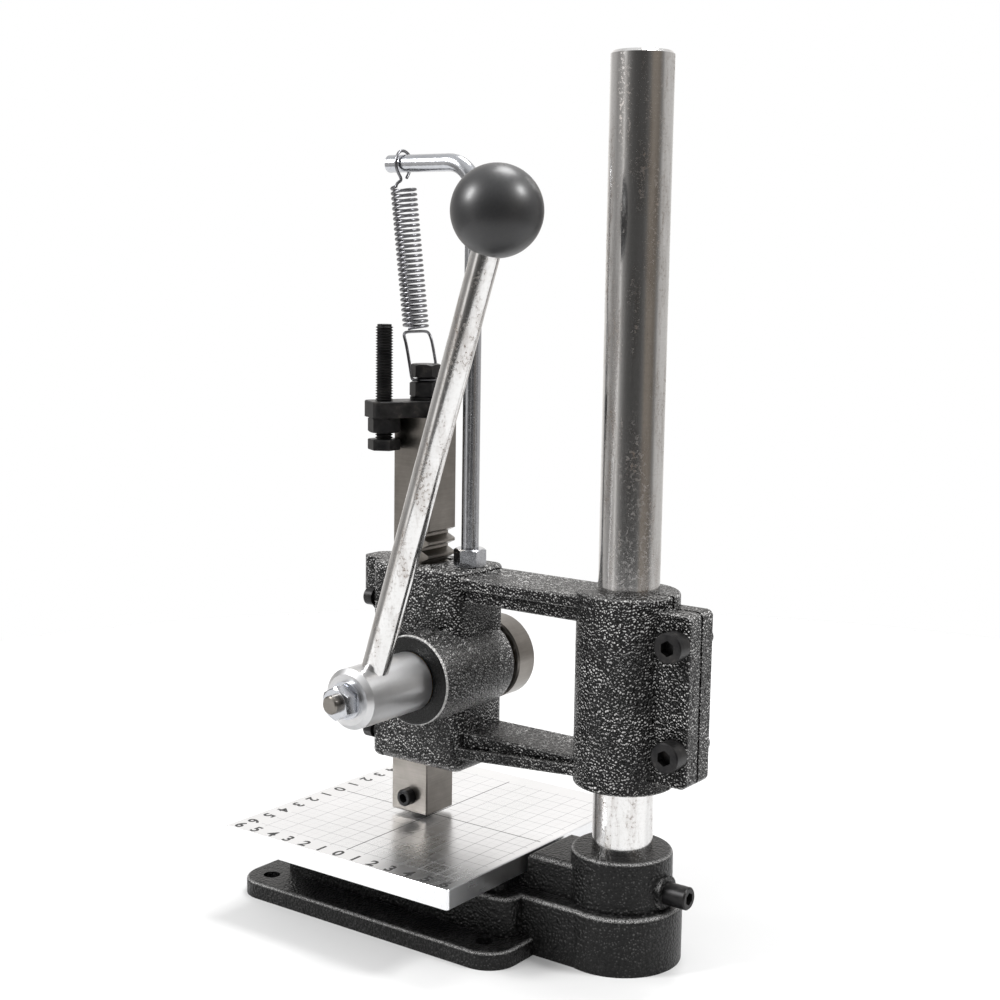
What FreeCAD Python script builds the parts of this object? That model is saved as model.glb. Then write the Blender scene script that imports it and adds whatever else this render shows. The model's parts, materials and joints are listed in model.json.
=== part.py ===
import FreeCAD, Part
import math
import os
from FreeCAD import Vector

# Bench-top arbor press: a T-slotless base with a ruled table plate, a round column, and a clamped
# head whose lever turns a pinion that drives a square rack ram. Millimetres, +Z up, +Y from the ram
# back to the column, +X towards the lever. The origin is on the bench under the table's centre.

# ---- driving dimensions -------------------------------------------------------------------------
FIT = 0.05                      # radial clearance of a running fit
SLIDE_GAP = 0.1                 # clearance of a flat slideway

PLATE_X, PLATE_Y, PLATE_T = 145.0, 130.0, 8.8
TABLE_Z = 41.0                  # working surface above the bench

COLUMN_Y = 105.3
COLUMN_R = 13.25
COLUMN_TOP = 387.0
COLUMN_FOOT = 6.0

FLANGE_X, FLANGE_FRONT, FLANGE_BACK, FLANGE_T = 54.0, -78.0, 77.0, 8.0
HOLE_X, HOLE_FRONT, HOLE_BACK, HOLE_R = 42.0, -65.0, 62.0, 4.0
TIER_TOP = 26.0                 # top of the base's wide tier
PEDESTAL_X, PEDESTAL_FRONT, PEDESTAL_BACK = 35.5, -64.0, 70.0
NECK_X = 26.0
ROUND_END_R = 27.0
BOSS_R, BOSS_TOP = 22.2, 49.0
WEB_X, WEB_TOP = 17.0, 42.0      # the web that ties the boss to the pedestal
LOCK_SCREW_Z, LOCK_SCREW_R, LOCK_SCREW_TIP = 33.0, 5.0, 139.5

SLEEVE_R = 22.3
HEAD_BOTTOM, HEAD_TOP = 69.5, 163.0
SLEEVE_BOTTOM = 78.0
EAR_X, EAR_BACK, SPLIT = 10.0, 141.4, 1.6
EAR_BOTTOM, EAR_TOP = 83.5, 158.0
CLAMP_SCREW_Y, CLAMP_SCREW_Z = 135.3, (98.5, 145.0)
HEAD_X, HEAD_FRONT, HEAD_BACK = 18.0, -17.5, 28.0
ARM_X, ARM_RIM_X, ARM_TOP, ARM_RIM_T = 13.8, 16.5, 160.7, 5.4
WINDOW_BOTTOM, WINDOW_TOP = 89.0, 149.0
CAP_FRONT = -24.0
CAP_SCREW_X, CAP_SCREW_Z, CAP_SCREW_R, CAP_SCREW_REACH = 13.8, (81.5, 145.0), 2.5, 11.0
STOP_PAD_FRONT, STOP_PAD_BOTTOM, STOP_PAD_X = -38.0, 134.0, 9.0

MODULE, TEETH, PRESSURE = 2.0, 14, math.radians(25.0)
PITCH_R = MODULE * TEETH / 2
TOOTH_BACKLASH = 0.3
PINION_Z = 116.0
HOUSING_R, HOUSING_FAR, HOUSING_NEAR = 20.4, -18.0, 37.6
SHAFT_R, STUD_R = 10.0, 4.0
COLLAR_R, COLLAR_T = 19.5, 13.0

RAM_Y, RAM_HALF_X, RAM_HALF_Y = -6.6, 10.0, 10.6
RAM_FOOT, RAM_TOP = 43.2, 230.2
RACK_BOTTOM, RACK_TOP = 80.0, 181.0
TOOL_BORE_R, TOOL_BORE_DEPTH, TOOL_SCREW_Z = 5.0, 24.0, 51.0

HUB_R, HUB_START, HUB_END, SPINDLE_R = 13.3, 38.0, 80.0, 8.0
LEVER_X, LEVER_R, LEVER_LENGTH, LEVER_LEAN = 66.0, 6.0, 215.0, math.radians(17.6)
BALL_R = 18.5

TOP_PLATE_T, TOP_PLATE_W, TOP_PLATE_END, TOP_PLATE_TAIL = 7.4, 16.0, 7.4, 12.0
STOP_X, STOP_Y = 17.8, -16.5    # the plate is swung round so that the stop bolt stands beside the ram
STOP_HEAD_BOTTOM, STOP_BOLT_TOP = 215.2, 272.3
M8_R, M8_FLATS, M8_HEAD, M8_NUT = 4.0, 13.0, 5.5, 7.0

ROD_Y, ROD_R, ROD_TIP_Y, ROD_Z, ROD_BEND = 20.0, 4.0, -28.5, 344.5, 14.0
ROD_NUT_T = 8.4
SPRING_TOP = Vector(0, -20.6, 334.0)
SPRING_BOTTOM = Vector(0, -12.6, 270.0)
SPRING_R, WIRE_R, COILS = 5.4, 0.7, 28

RACK_PITCH_Y = RAM_Y + RAM_HALF_Y - MODULE
PINION_Y = RACK_PITCH_Y + PITCH_R
X_AXIS, Y_AXIS, Z_AXIS = Vector(1, 0, 0), Vector(0, 1, 0), Vector(0, 0, 1)


# ---- shape helpers ------------------------------------------------------------------------------
def block(x0, x1, y0, y1, z0, z1):
    return Part.makeBox(x1 - x0, y1 - y0, z1 - z0, Vector(x0, y0, z0))


def rod_between(start, end, radius):
    run = end - start
    return Part.makeCylinder(radius, run.Length, start, run)


def disc_x(y, z, radius, x0, x1):
    return Part.makeCylinder(radius, x1 - x0, Vector(x0, y, z), X_AXIS)


def disc_y(x, z, radius, y0, y1):
    return Part.makeCylinder(radius, y1 - y0, Vector(x, y0, z), Y_AXIS)


def disc_z(x, y, radius, z0, z1):
    return Part.makeCylinder(radius, z1 - z0, Vector(x, y, z0), Z_AXIS)


def prism(points, direction):
    """Extrudes the closed outline through points along direction."""
    return Part.Face(Part.makePolygon(points + points[:1])).extrude(direction)


def hexagon(centre, flats, axis, height):
    """A hexagonal prism whose first corner points across the axis."""
    reach = flats / math.sqrt(3)
    side = Z_AXIS if abs(axis.z) < 0.5 else X_AXIS
    other = axis.cross(side)
    corners = []
    for k in range(6):
        turn = math.radians(60 * k)
        corners.append(centre + side * (reach * math.cos(turn)) + other * (reach * math.sin(turn)))
    return prism(corners, axis * height)


def chamfered_hexagon(centre, flats, axis, height):
    """A bolt head or nut blank: the prism's corners are turned off at 30 degrees on both faces."""
    reach = flats / math.sqrt(3)
    slope = 0.577 * (reach - flats / 2 * 0.96)
    profile = [(0, 0), (flats / 2 * 0.96, 0), (reach, slope), (reach, height - slope),
               (flats / 2 * 0.96, height), (0, height)]
    side = Z_AXIS if abs(axis.z) < 0.5 else X_AXIS
    points = [centre + side * r + axis * h for r, h in profile]
    turned = Part.Face(Part.makePolygon(points + points[:1])).revolve(centre, axis, 360)
    return hexagon(centre, flats, axis, height).common(turned)


def rounded_plan(x_half, y0, y1, radius, z0, z1):
    """A slab with its four vertical edges rounded."""
    slab = block(-x_half, x_half, y0, y1, z0, z1)
    upright = [e for e in slab.Edges if abs(e.tangentAt(e.FirstParameter).z) > 0.9]
    return slab.makeFillet(radius, upright)


def round_edges(shape, radius, wanted):
    """Fillets every edge that wanted(edge) picks."""
    return shape.makeFillet(radius, [e for e in shape.Edges if wanted(e)])


def at_height(z):
    return lambda e: abs(e.BoundBox.ZMin - z) < 1e-4 and abs(e.BoundBox.ZMax - z) < 1e-4


def socket(centre, axis, flats, depth):
    """The hexagonal recess of a socket screw, cut inwards from centre against axis."""
    return hexagon(centre - axis * depth, flats, axis, depth + 1)


def cap_screw(head_base, axis, shank_r, shank_length, head_r, head_height):
    """A socket head cap screw: the head stands on head_base along axis, the shank runs back."""
    head = Part.makeCylinder(head_r, head_height, head_base, axis)
    rim = [e for e in head.Edges if (e.CenterOfMass - head_base - axis * head_height).Length < 1e-3]
    head = head.makeChamfer(0.5, rim)
    shank = Part.makeCylinder(shank_r, shank_length, head_base - axis * shank_length, axis)
    recess = socket(head_base + axis * head_height, axis, head_r * 0.92, head_height * 0.55)
    return head.fuse(shank).cut(recess).removeSplitter()


def set_screw(tip, axis, radius, length, flats):
    """A headless socket screw from tip along axis."""
    body = Part.makeCylinder(radius, length, tip, axis)
    ends = [e for e in body.Edges if isinstance(e.Curve, Part.Circle)]
    body = body.makeChamfer(0.6, ends)
    return body.cut(socket(tip + axis * length, axis, flats, length * 0.4))


# ---- base ---------------------------------------------------------------------------------------
PLATE_SCREW_X, PLATE_SCREW_Y = 22.0, 45.0


def base_casting():
    flange = rounded_plan(FLANGE_X, FLANGE_FRONT, FLANGE_BACK, 14, 0, FLANGE_T)
    flange = round_edges(flange, 1.8, at_height(FLANGE_T))
    tier = rounded_plan(PEDESTAL_X, PEDESTAL_FRONT, PEDESTAL_BACK, 8, 0, TIER_TOP)
    neck = block(-NECK_X, NECK_X, PEDESTAL_BACK - 20, COLUMN_Y, 0, TIER_TOP)
    tier = tier.fuse([neck, disc_z(0, COLUMN_Y, ROUND_END_R, 0, TIER_TOP)]).removeSplitter()
    tier = round_edges(tier, 2.5, at_height(TIER_TOP))
    pad = rounded_plan(PEDESTAL_X - 5, PEDESTAL_FRONT + 5, PEDESTAL_BACK - 8, 6, 0, TABLE_Z - PLATE_T)
    boss = Part.makeCone(BOSS_R + 0.5, BOSS_R, BOSS_TOP - 10, Vector(0, COLUMN_Y, 10), Z_AXIS)
    boss = round_edges(boss, 2.0, at_height(BOSS_TOP))
    pad_for_screw = disc_y(0, LOCK_SCREW_Z, LOCK_SCREW_R + 2.5, COLUMN_Y, COLUMN_Y + BOSS_R + 1.2)
    web = block(-WEB_X, WEB_X, PEDESTAL_BACK - 15, COLUMN_Y, 0, TABLE_Z - PLATE_T)
    shoulder = block(-WEB_X, WEB_X, PLATE_Y / 2 + 2, COLUMN_Y, 0, WEB_TOP)
    shoulder = round_edges(shoulder, 3, at_height(WEB_TOP))
    body = flange.fuse([tier, pad, boss, pad_for_screw, web, shoulder]).removeSplitter()
    body = body.cut(disc_z(0, COLUMN_Y, COLUMN_R + FIT, COLUMN_FOOT, BOSS_TOP + 1))
    body = body.cut(disc_y(0, LOCK_SCREW_Z, LOCK_SCREW_R, COLUMN_Y, COLUMN_Y + 40))
    for x in (-HOLE_X, HOLE_X):
        for y in (HOLE_FRONT, HOLE_BACK):
            body = body.cut(disc_z(x, y, HOLE_R, -1, FLANGE_T + 1))
    for x in (-PLATE_SCREW_X, PLATE_SCREW_X):
        for y in (-PLATE_SCREW_Y, PLATE_SCREW_Y):
            body = body.cut([disc_z(x, y, 5.5, -1, 10), disc_z(x, y, 3.3, -1, TABLE_Z)])
    return body


def column_lock_screw():
    tip = Vector(0, COLUMN_Y + COLUMN_R + FIT, LOCK_SCREW_Z)
    return set_screw(tip, Y_AXIS, LOCK_SCREW_R, LOCK_SCREW_TIP - tip.y, 5)


def table_plate():
    plate = rounded_plan(PLATE_X / 2, -PLATE_Y / 2, PLATE_Y / 2, 1.5, TABLE_Z - PLATE_T, TABLE_Z)
    plate = plate.makeChamfer(0.4, [e for e in plate.Edges if at_height(TABLE_Z)(e)])
    for x in (-PLATE_SCREW_X, PLATE_SCREW_X):
        for y in (-PLATE_SCREW_Y, PLATE_SCREW_Y):
            plate = plate.cut(disc_z(x, y, 3.0, TABLE_Z - PLATE_T - 1, TABLE_Z - 2.5))
    return plate


def plate_screws():
    screws = []
    for x in (-PLATE_SCREW_X, PLATE_SCREW_X):
        for y in (-PLATE_SCREW_Y, PLATE_SCREW_Y):
            screws.append(cap_screw(Vector(x, y, 10), -Z_AXIS, 3.0, TABLE_Z - 2.6 - 10, 5.0, 6.0))
    return Part.makeCompound(screws)


# ---- column -------------------------------------------------------------------------------------
def column():
    bar = disc_z(0, COLUMN_Y, COLUMN_R, COLUMN_FOOT, COLUMN_TOP)
    return bar.makeChamfer(1.2, [e for e in bar.Edges if at_height(COLUMN_TOP)(e)])


# ---- head ---------------------------------------------------------------------------------------
def head_body():
    """The upright block that carries the ram, rounded behind and below."""
    body = block(-HEAD_X, HEAD_X, HEAD_FRONT, HEAD_BACK, HEAD_BOTTOM, HEAD_TOP)
    back = [e for e in body.Edges if abs(e.BoundBox.YMin - HEAD_BACK) < 1e-4 and e.BoundBox.ZLength > 50]
    body = body.makeFillet(6, back)
    body = body.makeFillet(5, [e for e in body.Edges if at_height(HEAD_BOTTOM)(e)
                                 and e.BoundBox.YMax > HEAD_FRONT + 1])
    return body.makeFillet(2, [e for e in body.Edges if at_height(HEAD_TOP)(e)
                               and e.BoundBox.YMax > HEAD_FRONT + 1])


def arms():
    """The two arms around the window: thin webs, each with a wider outer rim."""
    root, tip = HEAD_BACK - 8, COLUMN_Y - 8
    low_root, low_tip = 76.2, 81.8
    pieces = []
    upper = ((ARM_X, WINDOW_TOP, ARM_TOP - 1), (ARM_RIM_X, ARM_TOP - ARM_RIM_T, ARM_TOP))
    lower = ((ARM_X, 1, WINDOW_BOTTOM, WINDOW_BOTTOM),
             (ARM_RIM_X, 0, low_root + ARM_RIM_T, low_tip + ARM_RIM_T))
    for half, z_low, z_high in upper:
        pieces.append(round_arm([(root, z_low), (tip, z_low), (tip, z_high), (root, z_high)], half))
    for half, lift, root_high, tip_high in lower:
        outline = [(root, low_root + lift), (tip, low_tip + lift), (tip, tip_high), (root, root_high)]
        pieces.append(round_arm(outline, half))
    return pieces


def round_arm(outline, half):
    """One straight bar across X from -half to half, with its long edges rounded."""
    bar = prism([Vector(-half, y, z) for y, z in outline], Vector(2 * half, 0, 0))
    long_edges = [e for e in bar.Edges if e.BoundBox.YLength > 40]
    return bar.makeFillet(1.2, long_edges)


def clamp_sleeve():
    sleeve = disc_z(0, COLUMN_Y, SLEEVE_R, SLEEVE_BOTTOM, HEAD_TOP)
    sleeve = sleeve.makeFillet(1.5, [e for e in sleeve.Edges if isinstance(e.Curve, Part.Circle)])
    ears = block(-EAR_X, EAR_X, COLUMN_Y, EAR_BACK, EAR_BOTTOM, EAR_TOP)
    ears = round_edges(ears, 3.0, lambda e: e.BoundBox.YMin > EAR_BACK - 1 and e.BoundBox.ZLength < 0.1)
    beyond = COLUMN_Y + SLEEVE_R
    ears = round_edges(ears, 1.2, lambda e: e.BoundBox.XLength < 0.1 and e.BoundBox.YMax > beyond)
    return sleeve.fuse(ears).removeSplitter()


def head_casting():
    housing = disc_x(PINION_Y, PINION_Z, HOUSING_R, HOUSING_FAR, HOUSING_NEAR)
    housing = round_edges(housing, 1.5, lambda e: e.BoundBox.XMin > HOUSING_NEAR - 0.1)
    housing = round_edges(housing, 7.0, lambda e: e.BoundBox.XMax < HOUSING_FAR + 0.1)
    body = head_body().fuse(arms() + [clamp_sleeve(), housing]).removeSplitter()
    channel = block(-RAM_HALF_X - SLIDE_GAP, RAM_HALF_X + SLIDE_GAP, HEAD_FRONT - 1,
                    RAM_Y + RAM_HALF_Y + SLIDE_GAP, HEAD_BOTTOM - 1, HEAD_TOP + 1)
    cavity = disc_x(PINION_Y, PINION_Z, PITCH_R + MODULE + 0.6, HOUSING_FAR - 1, 10.6)
    bush_bore = disc_x(PINION_Y, PINION_Z, SHAFT_R + 3, 0, HOUSING_NEAR + 1)
    bore = disc_z(0, COLUMN_Y, COLUMN_R + FIT, SLEEVE_BOTTOM - 1, HEAD_TOP + 1)
    split = block(-SPLIT / 2, SPLIT / 2, COLUMN_Y, EAR_BACK + 1, SLEEVE_BOTTOM - 1, HEAD_TOP + 1)
    rod_hole = disc_z(0, ROD_Y, ROD_R, HEAD_TOP - 20, HEAD_TOP + 1)
    body = body.cut([channel, cavity, bush_bore, bore, split, rod_hole])
    for z in CLAMP_SCREW_Z:
        body = body.cut(disc_x(CLAMP_SCREW_Y, z, M8_R, -EAR_X - 1, EAR_X + 1))
    for x, z in cap_screw_places():
        body = body.cut(disc_y(x, z, CAP_SCREW_R, HEAD_FRONT - 1, HEAD_FRONT + CAP_SCREW_REACH + 1))
    return body


def cap_screw_places():
    return [(x, z) for x in (-CAP_SCREW_X, CAP_SCREW_X) for z in CAP_SCREW_Z]


def front_cap():
    """The plate that closes the ram's slideway, with the pad that the stop bolt lands on."""
    plate = block(-HEAD_X, HEAD_X, CAP_FRONT, HEAD_FRONT, HEAD_BOTTOM + 0.5, HEAD_TOP - 0.5)
    pad = block(-STOP_PAD_X, STOP_PAD_X, STOP_PAD_FRONT, CAP_FRONT + 2, STOP_PAD_BOTTOM, HEAD_TOP - 0.5)
    toe = [e for e in pad.Edges if e.BoundBox.YMax < STOP_PAD_FRONT + 0.1 and e.BoundBox.ZLength > 10]
    pad = pad.makeFillet(6, toe)
    under = [(STOP_PAD_FRONT - 1, STOP_PAD_BOTTOM - 1), (CAP_FRONT, STOP_PAD_BOTTOM - 1),
             (STOP_PAD_FRONT - 1, STOP_PAD_BOTTOM + 14)]
    slant = prism([Vector(-20, y, z) for y, z in under], Vector(40, 0, 0))
    upright = [e for e in plate.Edges if e.BoundBox.ZLength > 50 and e.BoundBox.YMax < CAP_FRONT + 0.1]
    plate = plate.makeFillet(5, upright)
    at_foot = at_height(HEAD_BOTTOM + 0.5)
    plate = round_edges(plate, 3, lambda e: at_foot(e) and e.BoundBox.YMin < HEAD_FRONT - 1)
    body = plate.fuse(pad.cut(slant)).removeSplitter()
    for x, z in cap_screw_places():
        body = body.cut(disc_y(x, z, CAP_SCREW_R + 0.2, CAP_FRONT - 1, HEAD_FRONT + 1))
    return body


def front_cap_screws():
    screws = []
    for x, z in cap_screw_places():
        length = HEAD_FRONT - CAP_FRONT + CAP_SCREW_REACH
        screws.append(cap_screw(Vector(x, CAP_FRONT, z), -Y_AXIS, CAP_SCREW_R, length, 4.1, 5.0))
    return Part.makeCompound(screws)


def clamp_screws():
    screws = []
    for z in CLAMP_SCREW_Z:
        screws.append(cap_screw(Vector(EAR_X, CLAMP_SCREW_Y, z), X_AXIS, M8_R, 2 * EAR_X + 4, 6.5, 8.0))
    return Part.makeCompound(screws)


def bush(outer, x0, x1):
    ring = disc_x(PINION_Y, PINION_Z, outer, x0, x1)
    return ring.cut(disc_x(PINION_Y, PINION_Z, SHAFT_R + FIT, x0 - 1, x1 + 1))


def pinion_bush_near():
    return bush(SHAFT_R + 3, 10.6 + FIT, HOUSING_NEAR - 0.4)


def pinion_bush_far():
    return bush(PITCH_R + MODULE + 0.6, HOUSING_FAR + 0.8, -10.6)


def spring_rod():
    """The bent rod that holds the spring's upper end over the ram."""
    low = Vector(0, ROD_Y, HEAD_TOP - 20)
    corner_low = Vector(0, ROD_Y, ROD_Z - ROD_BEND)
    corner_high = Vector(0, ROD_Y - ROD_BEND, ROD_Z)
    middle = Vector(0, ROD_Y - ROD_BEND * (1 - math.sqrt(0.5)), ROD_Z - ROD_BEND * (1 - math.sqrt(0.5)))
    bend = Part.Arc(corner_low, middle, corner_high).toShape()
    tip = Vector(0, ROD_TIP_Y, ROD_Z)
    path = Part.Wire([Part.makeLine(low, corner_low), bend, Part.makeLine(corner_high, tip)])
    ring = Part.Wire(Part.makeCircle(ROD_R, low, Z_AXIS))
    return path.makePipeShell([ring], True, False)


def rod_nut():
    nut = chamfered_hexagon(Vector(0, ROD_Y, HEAD_TOP), M8_FLATS, Z_AXIS, ROD_NUT_T)
    return nut.cut(disc_z(0, ROD_Y, ROD_R, HEAD_TOP - 1, HEAD_TOP + ROD_NUT_T + 1))


def return_spring():
    """The close helix of the tension spring, leaning from its yoke to the rod."""
    run = SPRING_TOP - SPRING_BOTTOM
    pitch = run.Length / COILS
    helix = Part.makeHelix(pitch, run.Length, SPRING_R)
    ring = Part.Wire(Part.makeCircle(WIRE_R, Vector(SPRING_R, 0, 0), Y_AXIS))
    coil = Part.Wire(helix.Edges).makePipeShell([ring], True, True)
    lean = FreeCAD.Rotation(Z_AXIS, run)
    coil.Placement = FreeCAD.Placement(SPRING_BOTTOM, lean)
    return coil


# ---- lever and pinion ---------------------------------------------------------------------------
def involute_flank(base_r, start_r, end_r, steps):
    """Radius and polar angle along one involute flank, from start_r to end_r."""
    flank = []
    for k in range(steps + 1):
        radius = start_r + (end_r - start_r) * k / steps
        roll = math.sqrt(max((radius / base_r) ** 2 - 1, 0))
        flank.append((radius, roll - math.atan(roll)))
    return flank


def pinion_outline():
    """The pinion's section in the YZ plane: a tooth gap faces the rack."""
    base_r = PITCH_R * math.cos(PRESSURE)
    root_r, tip_r = PITCH_R - 1.25 * MODULE, PITCH_R + MODULE * 0.95
    pitch_roll = math.tan(PRESSURE) - PRESSURE
    half_tooth = (math.pi * MODULE / 2 - TOOTH_BACKLASH) / 2 / PITCH_R
    flank = involute_flank(base_r, max(base_r, root_r), tip_r, 5)
    points = []
    for tooth in range(TEETH):
        centre = math.pi + 2 * math.pi * (tooth + 0.5) / TEETH
        rising = [(root_r, -half_tooth - pitch_roll)]
        rising += [(r, a - half_tooth - pitch_roll) for r, a in flank]
        falling = [(r, -a) for r, a in reversed(rising)]
        for radius, angle in rising + falling:
            y = PINION_Y + radius * math.cos(centre + angle)
            z = PINION_Z + radius * math.sin(centre + angle)
            points.append((y, z))
    return points


def pinion_shaft():
    gear = prism([Vector(-10, y, z) for y, z in pinion_outline()], Vector(20, 0, 0))
    journal = disc_x(PINION_Y, PINION_Z, SHAFT_R, HOUSING_FAR - 0.5 - COLLAR_T, HUB_START - 0.4)
    spindle = disc_x(PINION_Y, PINION_Z, SPINDLE_R, HUB_START - 1, HUB_END - 2)
    stud = disc_x(PINION_Y, PINION_Z, STUD_R, HUB_END - 3, HUB_END + 11.5)
    stud = stud.makeChamfer(0.7, [e for e in stud.Edges if e.BoundBox.XMin > HUB_END + 11])
    return gear.fuse([journal, spindle, stud]).removeSplitter()


def collar_span():
    far = HOUSING_FAR - 0.5 - COLLAR_T
    return far, far + COLLAR_T


def collar():
    far, near = collar_span()
    ring = disc_x(PINION_Y, PINION_Z, COLLAR_R, far, near)
    ring = ring.makeChamfer(0.8, [e for e in ring.Edges if isinstance(e.Curve, Part.Circle)])
    ring = ring.cut(disc_x(PINION_Y, PINION_Z, SHAFT_R, far - 1, near + 1))
    return ring.cut(disc_z((far + near) / 2, PINION_Y, 3.0, PINION_Z, PINION_Z + COLLAR_R + 1))


def collar_screw():
    far, near = collar_span()
    tip = Vector((far + near) / 2, PINION_Y, PINION_Z + SHAFT_R)
    return set_screw(tip, Z_AXIS, 3.0, COLLAR_R - SHAFT_R - 0.5, 3)


def lever_direction():
    return Vector(0, math.sin(LEVER_LEAN), math.cos(LEVER_LEAN))


def lever_hub():
    hub = disc_x(PINION_Y, PINION_Z, HUB_R, HUB_START, HUB_END)
    hub = hub.makeChamfer(2.2, [e for e in hub.Edges if e.BoundBox.XMin > HUB_END - 0.1])
    hub = hub.makeChamfer(0.6, [e for e in hub.Edges if e.BoundBox.XMax < HUB_START + 0.1])
    centre = Vector(LEVER_X, PINION_Y, PINION_Z)
    hub = hub.cut(disc_x(PINION_Y, PINION_Z, SPINDLE_R, HUB_START - 1, HUB_END - 2))
    hub = hub.cut(disc_x(PINION_Y, PINION_Z, STUD_R, HUB_END - 3, HUB_END + 1))
    return hub.cut(rod_between(centre, centre + lever_direction() * 30, LEVER_R))


def hub_washer():
    ring = disc_x(PINION_Y, PINION_Z, 8.2, HUB_END, HUB_END + 1.6)
    return ring.cut(disc_x(PINION_Y, PINION_Z, STUD_R, HUB_END - 1, HUB_END + 3))


def hub_nut():
    nut = chamfered_hexagon(Vector(HUB_END + 1.6, PINION_Y, PINION_Z), M8_FLATS, X_AXIS, 6.5)
    return nut.cut(disc_x(PINION_Y, PINION_Z, STUD_R, HUB_END, HUB_END + 12))


def lever():
    centre = Vector(LEVER_X, PINION_Y, PINION_Z)
    along = lever_direction()
    shoulder = LEVER_LENGTH - BALL_R + 1.5
    bar = rod_between(centre + along * (SPINDLE_R + 0.6), centre + along * shoulder, LEVER_R)
    stud = rod_between(centre + along * (shoulder - 1), centre + along * (LEVER_LENGTH + 2), STUD_R)
    return bar.fuse(stud).removeSplitter()


def ball_knob():
    centre = Vector(LEVER_X, PINION_Y, PINION_Z)
    along = lever_direction()
    middle = centre + along * LEVER_LENGTH
    ball = Part.makeSphere(BALL_R, middle)
    flat = middle - along * (BALL_R - 1.5)
    seat = rod_between(flat - along * 6, flat, BALL_R + 1)
    bore = rod_between(middle - along * BALL_R, middle + along * 2, STUD_R)
    return ball.cut([seat, bore])


# ---- ram ----------------------------------------------------------------------------------------
def rack_gaps():
    """Prisms that cut the rack's tooth spaces into the ram's back, one tooth centred on the pinion."""
    pitch = math.pi * MODULE
    depth_in, depth_out = 1.25 * MODULE, MODULE + 0.5
    half_gap = (pitch / 2 + TOOTH_BACKLASH) / 2
    slope = math.tan(PRESSURE)
    first = math.ceil((RACK_BOTTOM - PINION_Z) / pitch - 0.5)
    last = math.floor((RACK_TOP - PINION_Z) / pitch - 0.5)
    gaps = []
    for k in range(first, last + 1):
        z = PINION_Z + (k + 0.5) * pitch
        inner, outer = half_gap - depth_in * slope, half_gap + depth_out * slope
        y_in, y_out = RACK_PITCH_Y - depth_in, RACK_PITCH_Y + depth_out
        points = [(y_in, z - inner), (y_out, z - outer), (y_out, z + outer), (y_in, z + inner)]
        gaps.append(prism([Vector(-15, y, h) for y, h in points], Vector(30, 0, 0)))
    return gaps


def ram():
    bar = block(-RAM_HALF_X, RAM_HALF_X, RAM_Y - RAM_HALF_Y, RAM_Y + RAM_HALF_Y, RAM_FOOT, RAM_TOP)
    at_foot = at_height(RAM_FOOT)
    bar = bar.makeChamfer(0.6, [e for e in bar.Edges if e.BoundBox.ZLength > 50 or at_foot(e)])
    bar = bar.cut(rack_gaps())
    bar = bar.cut(disc_z(0, RAM_Y, TOOL_BORE_R, RAM_FOOT - 1, RAM_FOOT + TOOL_BORE_DEPTH))
    bar = bar.cut(disc_x(RAM_Y, TOOL_SCREW_Z, M8_R + FIT, 0, RAM_HALF_X + 1))
    return bar.cut(disc_z(0, RAM_Y, M8_R, RAM_TOP - 24, RAM_TOP + 1))


def tool_screw():
    return set_screw(Vector(TOOL_BORE_R + 0.6, RAM_Y, TOOL_SCREW_Z), X_AXIS, M8_R, 9.0, 4)


PLATE_TOP = RAM_TOP + TOP_PLATE_T
RAM_WASHER_T, RAM_WASHER_R = 1.4, 7.2
RAM_NUT_Z = PLATE_TOP + RAM_WASHER_T
YOKE_GAP = 2.0
RAM_BOLT_HEAD_Z = RAM_NUT_Z + M8_NUT + YOKE_GAP


def top_plate():
    """The flat bar on the ram's top, turned about the ram's bolt towards the stop bolt."""
    pivot, stop = Vector(0, RAM_Y, RAM_TOP), Vector(STOP_X, STOP_Y, RAM_TOP)
    arm = (stop - pivot).Length
    plate = block(-TOP_PLATE_TAIL, arm + TOP_PLATE_END, -TOP_PLATE_W / 2, TOP_PLATE_W / 2, 0, TOP_PLATE_T)
    plate = round_edges(plate, 3.0, lambda e: e.BoundBox.ZLength > TOP_PLATE_T - 0.1)
    plate = plate.makeChamfer(0.4, [e for e in plate.Edges if at_height(TOP_PLATE_T)(e)])
    plate.Placement = FreeCAD.Placement(pivot, FreeCAD.Rotation(X_AXIS, stop - pivot))
    low, high = RAM_TOP - 1, PLATE_TOP + 1
    return plate.cut([disc_z(STOP_X, STOP_Y, M8_R + FIT, low, high), disc_z(0, RAM_Y, M8_R, low, high)])


def ram_washer():
    ring = disc_z(0, RAM_Y, RAM_WASHER_R, PLATE_TOP, RAM_NUT_Z)
    return ring.cut(disc_z(0, RAM_Y, M8_R, PLATE_TOP - 1, RAM_NUT_Z + 1))


def ram_nut():
    nut = chamfered_hexagon(Vector(0, RAM_Y, RAM_NUT_Z), M8_FLATS, Z_AXIS, M8_NUT)
    return nut.cut(disc_z(0, RAM_Y, M8_R, RAM_NUT_Z - 1, RAM_NUT_Z + M8_NUT + 1))


def ram_bolt():
    head = chamfered_hexagon(Vector(0, RAM_Y, RAM_BOLT_HEAD_Z), M8_FLATS, Z_AXIS, M8_HEAD + 0.6)
    return head.fuse(disc_z(0, RAM_Y, M8_R, RAM_TOP - 22, RAM_BOLT_HEAD_Z + 1)).removeSplitter()


def jam_nut():
    nut = chamfered_hexagon(Vector(STOP_X, STOP_Y, RAM_TOP - M8_NUT), M8_FLATS, Z_AXIS, M8_NUT)
    return nut.cut(disc_z(STOP_X, STOP_Y, M8_R + FIT, RAM_TOP - 10, RAM_TOP + 1))


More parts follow.
